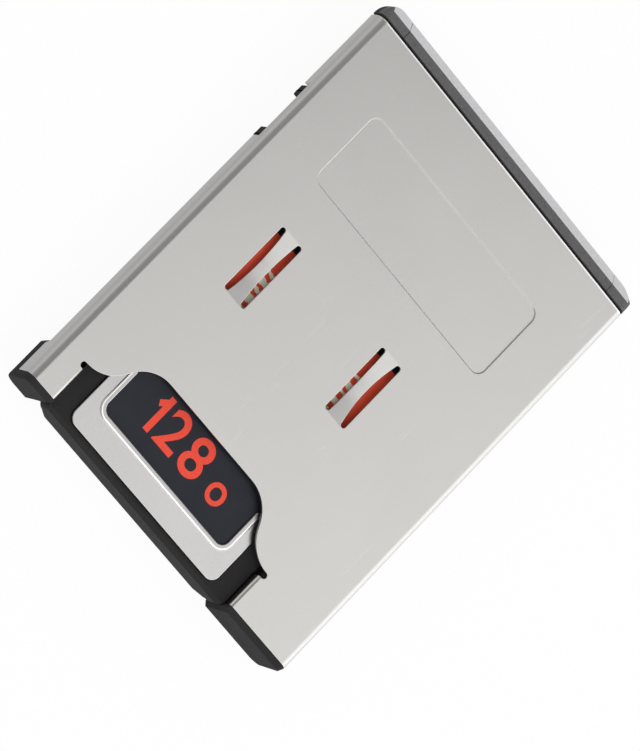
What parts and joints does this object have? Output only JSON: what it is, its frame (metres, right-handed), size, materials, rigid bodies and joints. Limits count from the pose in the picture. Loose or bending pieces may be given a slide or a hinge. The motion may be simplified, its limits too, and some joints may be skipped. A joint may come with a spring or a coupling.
{
  "type": "memory card adapter",
  "caption": "Flat adapter: a vented sheet-metal cover with a card mouth over a moulded frame that carries a smaller memory card, with a contact slot in the nose.",
  "frame": {"origin": "middle of the adapter's outline, at its underside", "axes": "+X along the adapter's length to the nose with the host contacts, +Y across to the narrow side rail, +Z out of the vented cover"},
  "size_m": [0.0384, 0.0296, 0.0038],
  "materials": {
    "frame_plastic": "fine moulded satin",
    "cover_steel": "fine satin sheet",
    "contact_gold": "plated, bright",
    "board_laminate": "solder mask over laminate",
    "chip_ceramic": "matt fired",
    "film": "smooth amber film",
    "socket_plastic": "moulded",
    "card_plastic": "fine moulded satin",
    "card_steel": "satin pressed sheet",
    "label_film": "printed semi-gloss film",
    "chip_epoxy": "moulded matt",
    "pad_rubber": "soft matt"
  },
  "bodies": {
    "adapter": {"frame": "frame_plastic", "top_cover": "cover_steel", "bottom_cover": "cover_steel", "nose_connector": "frame_plastic", "host_contacts": "contact_gold", "circuit_board": "board_laminate", "board_capacitors": "chip_ceramic", "board_resistors": "chip_ceramic", "insulating_film": "film", "card_socket": "socket_plastic", "socket_contacts": "contact_gold"},
    "card": {"card_shell": "card_plastic", "card_plate": "card_steel", "card_label": "label_film", "card_contacts": "contact_gold", "card_board": "board_laminate", "card_controller": "chip_epoxy", "thermal_pad": "pad_rubber", "card_memory_chips": "chip_epoxy", "card_capacitors": "chip_ceramic"}
  },
  "joints": [
    {"name": "card_slide", "type": "slide", "parent": "adapter", "child": "card", "axis": [-1, 0, 0], "range_m": [0, 0.026]}
  ]
}
